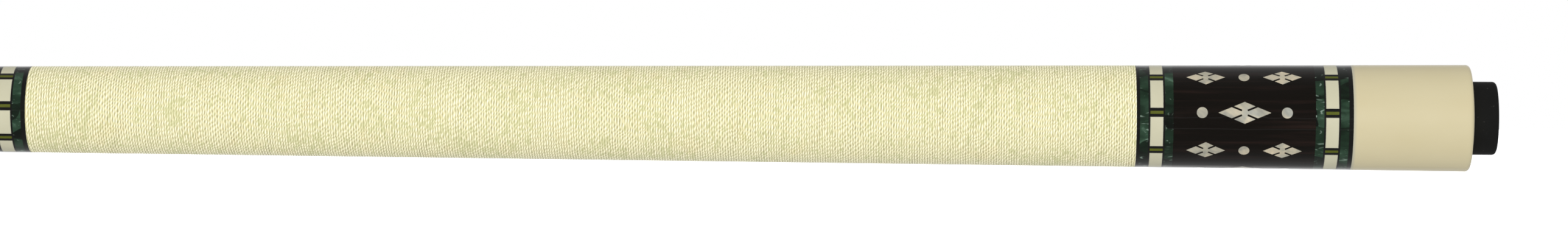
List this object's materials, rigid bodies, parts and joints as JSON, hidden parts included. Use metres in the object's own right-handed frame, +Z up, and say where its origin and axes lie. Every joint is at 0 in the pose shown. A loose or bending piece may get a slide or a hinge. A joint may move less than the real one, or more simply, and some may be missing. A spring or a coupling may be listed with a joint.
{
  "type": "pool cue",
  "caption": "Two-piece pool cue: a screw-jointed shaft on a butt with a linen wrap, inlaid ebony sleeve, block rings, ivory cap and rubber bumper.",
  "frame": {"origin": "centre of the bumper's rear end face, on the cue's axis", "axes": "+X along the cue's axis out of the bumper, so the tip points to -X; +Z up; the cue lies level"},
  "size_m": [1.4732, 0.0318, 0.0318],
  "materials": {
    "black_rubber": "matte moulded rubber",
    "ivory_resin": "polished ivory-coloured resin",
    "steel": "machined, bright",
    "brass": "machined",
    "maple": "sealed straight-grained maple",
    "linen": "pressed twisted linen yarn",
    "ebony": "black ebony under clear gloss lacquer",
    "green_pearl": "green pearlescent resin, polished",
    "black_resin": "polished",
    "white_resin": "off-white resin, polished",
    "olive_resin": "olive resin, polished",
    "mother_of_pearl": "white shell, polished flush",
    "ferrule_resin": "white resin",
    "black_fibre": "vulcanised fibre",
    "leather": "pressed leather, chalked"
  },
  "bodies": {
    "cue_butt": {"butt_cap": "ivory_resin", "weight_bolt": "steel", "handle_core": "maple", "wrap": "linen", "assembly_stud": "steel", "butt_sleeve": "ebony", "large_diamonds": "mother_of_pearl", "paired_dots": "mother_of_pearl", "small_diamonds": "mother_of_pearl", "single_dots": "mother_of_pearl", "rear_black_rings": "black_resin", "rear_pearl_rings": "green_pearl", "rear_block_ring": "black_resin", "rear_white_blocks": "white_resin", "rear_olive_bars": "olive_resin", "middle_black_rings": "black_resin", "middle_pearl_rings": "green_pearl", "middle_block_ring": "black_resin", "middle_white_blocks": "white_resin", "middle_olive_bars": "olive_resin", "front_black_rings": "black_resin", "front_pearl_rings": "green_pearl", "front_block_ring": "black_resin", "front_white_blocks": "white_resin", "front_olive_bars": "olive_resin", "forearm": "ebony", "joint_black_rings": "black_resin", "joint_pearl_ring": "green_pearl", "butt_collar": "ivory_resin", "joint_pin": "steel"},
    "shaft_slide": {"shaft_collar": "ivory_resin"},
    "cue_shaft": {"shaft_black_rings": "black_resin", "shaft_pearl_ring": "green_pearl", "shaft_insert": "brass", "shaft": "maple", "ferrule": "ferrule_resin", "tip_pad": "black_fibre", "tip": "leather"},
    "bumper_plug": {"bumper": "black_rubber"}
  },
  "joints": [
    {"name": "shaft_advance", "type": "slide", "parent": "cue_butt", "child": "shaft_slide", "axis": [-1, 0, 0], "range_m": [0, 0.03048]},
    {"name": "shaft_spin", "type": "hinge", "parent": "shaft_slide", "child": "cue_shaft", "pos_m": [-0.7366, 0, 0], "axis": [-1, 0, 0], "range_deg": [0, 4320]},
    {"name": "bumper_pull", "type": "slide", "parent": "cue_butt", "child": "bumper_plug", "axis": [1, 0, 0], "range_m": [0, 0.017]}
  ],
  "couplings": [
    {"joint": "shaft_spin", "follows": "shaft_advance", "rad_per_m": 2473.7}
  ]
}
